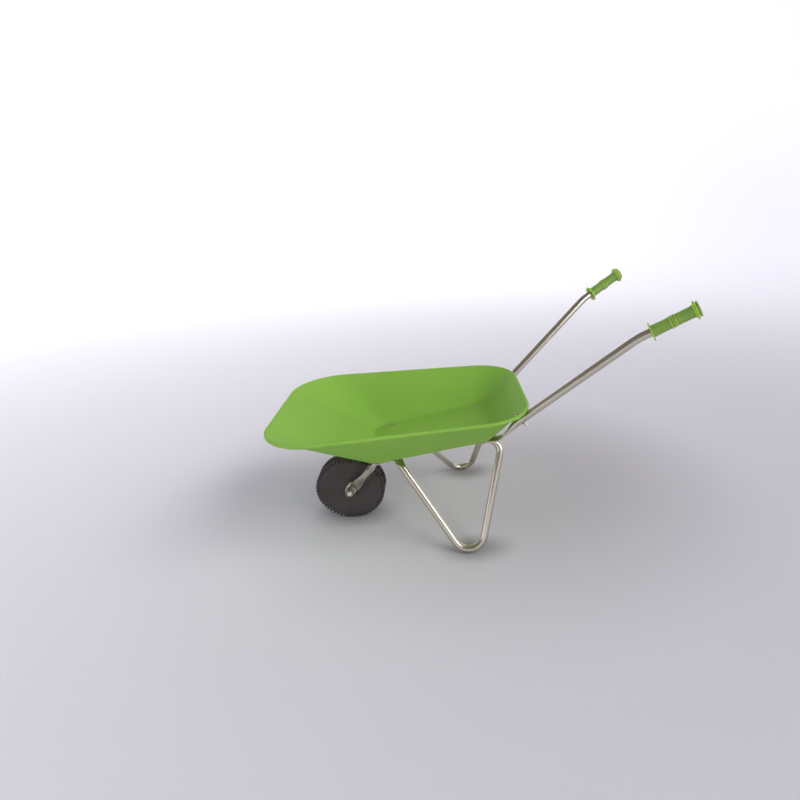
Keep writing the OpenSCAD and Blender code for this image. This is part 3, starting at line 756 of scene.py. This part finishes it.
def make_axle():
    nut_lo, nut_hi = span("axle_nut", 1)
    bolt_lo, bolt_hi = span("axle_bolt", 1)
    low, high = span("axle_nut", 2)
    across = (high - low) * math.sqrt(3) / 2
    chamfer, head, shank_d, pitch, threaded = 1.3, 6.4, 10.0, 1.5, 12
    full = nut_hi - nut_lo

    def nut(z, a):
        return hexagon(a, across, across / 2 - 0.15 + 1.5 * min(z, full - z, chamfer))

    zs = [0, 0.3, 0.6, 0.9, 1.3, full / 2, full - 1.3, full - 0.9, full - 0.6, full - 0.3, full]
    turned("axle_nut_chamfered", [(nut_lo + z, z) for z in zs], nut, "axle_nut", nut_shaded_zinc)

    def bolt(z, a):
        if z < head:
            return hexagon(a, across, across / 2 - 0.15 + 1.5 * min(z, chamfer))
        left = bolt_hi - bolt_lo - z
        wave = abs(((z / pitch + a / (2 * math.pi)) % 1) * 2 - 1)
        thread = 0.45 * wave if left < threaded else 0
        return shank_d / 2 - max(thread, 0.9 - left if left < 0.9 else 0)

    zs = [0, 0.3, 0.6, 0.9, 1.3, 3, head - 0.01, head + 0.01]
    last = bolt_hi - bolt_lo
    zs += [head + 1 + i * (last - threaded - 0.2 - head - 1) / 6 for i in range(7)]
    zs += [last - threaded + 0.25 * i for i in range(49)]
    turned("axle_bolt_threaded", [(bolt_lo + z, z) for z in zs], bolt, "axle_bolt", bolt_lit_zinc)


make_axle()

# ---- CAD nodes that stay, with better materials
for node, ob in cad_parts.items():
    if ob.hide_render:
        continue
    mat = bush_dark if node.startswith("hub_bush") else bolt_zinc
    ob.data.materials.clear()
    ob.data.materials.append(mat)
    shade(ob.data, 30)


# ---- Stage: a pale round cove, seamless from every side, whose wall and outer floor glow softly and whose floor is painted darker under the barrow
def map_range(nt, value, lo, hi, out_lo, out_hi):
    r = nt.nodes.new("ShaderNodeMapRange")
    r.interpolation_type = "SMOOTHSTEP"
    for key, val in (("From Min", lo), ("From Max", hi), ("To Min", out_lo), ("To Max", out_hi)):
        r.inputs[key].default_value = val
    nt.links.new(value, r.inputs["Value"])
    return r.outputs[0]


def maths(nt, op, a, b=None):
    m = nt.nodes.new("ShaderNodeMath")
    m.operation = op
    for sock, val in zip(m.inputs, (a, b)):
        if isinstance(val, bpy.types.NodeSocket):
            nt.links.new(val, sock)
        elif val is not None:
            sock.default_value = val
    return m.outputs[0]


def distance(nt, dx, dy):
    squares = maths(nt, "ADD", maths(nt, "MULTIPLY", dx, dx), maths(nt, "MULTIPLY", dy, dy))
    return maths(nt, "SQRT", squares)


def stage_mesh(name, pts, faces, mat):
    me = bpy.data.meshes.new(name)
    me.from_pydata(pts, [], faces)
    ob = bpy.data.objects.new(name, me)
    bpy.context.scene.collection.objects.link(ob)
    me.materials.append(mat)
    return ob


def make_cove(name, prof, mat, seg=96):
    """A ring wall round +Z from (radius, height) points."""
    turns = [2 * math.pi * j / seg for j in range(seg)]
    pts = [(r * math.cos(a), r * math.sin(a), z - 0.0002) for r, z in prof for a in turns]
    ob = stage_mesh(name, pts, grid_faces(len(prof), seg), mat)
    shade(ob.data)
    return ob


def make_stage():
    mat, nt, b, co = new_material("stage_pale")
    sep = nt.nodes.new("ShaderNodeSeparateXYZ")
    nt.links.new(co, sep.inputs[0])
    x, y, z = sep.outputs
    # Painted shade: the floor is painted darker in a pool under the barrow
    far = distance(nt, maths(nt, "MULTIPLY", maths(nt, "ADD", x, 0.12), 0.85), maths(nt, "ADD", y, 0.10))
    painted_shade_pool = map_range(nt, far, 0.10, 0.62, 0.0, 1.0)
    col = mixed(nt, painted_shade_pool, (0.52, 0.505, 0.515), (0.76, 0.75, 0.79))
    col = mixed(nt, grey_ramp(nt, noise(nt, co, 0.8, 2), 0.0, 0.15), col, (0.70, 0.69, 0.72))
    # Painted contact shadows: darker patches on the floor under the wheel and under the two feet
    foot = (AXLE_X + FOOT_X) * MM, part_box("side_frame_left")[1].y - 0.02
    for cx, cy, size in ((AXLE_X * MM, 0.0, 0.13), (*foot, 0.10), (foot[0], -foot[1], 0.10)):
        dy = maths(nt, "MULTIPLY", maths(nt, "SUBTRACT", y, cy), 1.7)
        off = distance(nt, maths(nt, "SUBTRACT", x, cx), dy)
        col = mixed(nt, map_range(nt, off, 0.01, size, 0.62, 0.0), col, (0.16, 0.15, 0.15))
    nt.links.new(col, b.inputs["Base Color"])
    b.inputs["Roughness"].default_value = 0.9
    b.inputs["Specular IOR Level"].default_value = 0.1
    b.inputs["Emission Color"].default_value = (0.95, 0.95, 1.0, 1)
    # Painted light: the wall and the floor away from the barrow glow, more on the -X side than on the +X
    # side
    rise = maths(nt, "ADD", maths(nt, "MULTIPLY", far, 0.45), z)
    glow = maths(nt, "MULTIPLY", map_range(nt, rise, 0.05, 1.9, 0.0, 1.0),
                 map_range(nt, x, -1.0, 4.5, 0.50, 0.24))
    nt.links.new(glow, b.inputs["Emission Strength"])
    flat, bend = 3.0, 1.5
    prof = [(r, 0.0) for r in (0.0001, 0.4, 0.8, 1.4, 2.2, flat)]
    turns = [math.radians(a) for a in range(6, 91, 6)]
    prof += [(flat + bend * math.sin(a), bend - bend * math.cos(a)) for a in turns]
    prof += [(4.5, 2.2), (4.5, 3.0)]
    make_cove("stage_cove", prof, mat)
    # Seen by the camera only, so low views have no edge above them and the light stays the same
    top = make_cove("stage_cove_top", [(4.5, 3.0), (4.5, 4.2), (4.3, 5.4), (3.6, 6.6)], mat)
    top.visible_diffuse = top.visible_glossy = top.visible_shadow = False


make_stage()


def make_flag():
    """A dark hood above the wheel's side and the camera, seen only in the gloss of the tubes."""
    mat, nt, b, co = new_material("stage_flag")
    col = ramp(nt, noise(nt, co, 2.0, 2), [(0.3, (0.27, 0.25, 0.22)), (0.7, (0.31, 0.285, 0.25))])
    nt.links.new(col, b.inputs["Base Color"])
    b.inputs["Roughness"].default_value = 0.9
    turns = [math.radians(-100 + 8.6 * i) for i in range(26)]
    rises = [math.radians(18 + 8 * i) for i in range(10)]
    r = 1.9
    pts = [(r * math.cos(e) * math.cos(a), r * math.cos(e) * math.sin(a), r * math.sin(e))
           for a in turns for e in rises]
    ob = stage_mesh("stage_flag", pts, grid_faces(len(turns), len(rises), wrap_m=False), mat)
    ob.visible_camera = ob.visible_diffuse = ob.visible_shadow = ob.visible_transmission = False


make_flag()


# ---- Soft studio light: a broad soft sun from beside the camera, and a softbox seen only in gloss
def aim(data, name, place, target):
    ob = bpy.data.objects.new(name, data)
    bpy.context.scene.collection.objects.link(ob)
    ob.location = place
    ob.rotation_mode = "QUATERNION"
    ob.rotation_quaternion = (Vector(target) - Vector(place)).to_track_quat("-Z", "Y")
    return ob


sun = bpy.data.lights.new("soft_sun", "SUN")
sun.energy, sun.angle = 3.1, math.radians(50)
sun.color = (1.0, 0.99, 0.96)
aim(sun, "soft_sun", (-3.12, 1.52, 2.2), (0, 0, 0.2)).visible_glossy = False
box = bpy.data.lights.new("softbox", "AREA")
box.shape, box.size, box.size_y, box.energy = "RECTANGLE", 0.45, 1.3, 13.0
aim(box, "softbox", (-1.25, 1.20, 1.35), (0, 0, 0.15)).visible_diffuse = False

world = bpy.data.worlds.new("studio")
bpy.context.scene.world = world
world.use_nodes = True
wt = world.node_tree
bg = wt.nodes["Background"]
sky = wt.nodes.new("ShaderNodeTexCoord")
parts = wt.nodes.new("ShaderNodeSeparateXYZ")
wt.links.new(sky.outputs["Generated"], parts.inputs[0])
high = map_range(wt, parts.outputs[2], 0.35, 0.95, 0.56, 0.24)
aside = map_range(wt, parts.outputs[0], -0.8, 0.8, 1.35, 0.40)
wt.links.new(maths(wt, "MULTIPLY", high, aside), bg.inputs[1])
bg.inputs[0].default_value = (0.93, 0.93, 1.0, 1)

view = bpy.context.scene.view_settings
view.view_transform = "Standard"
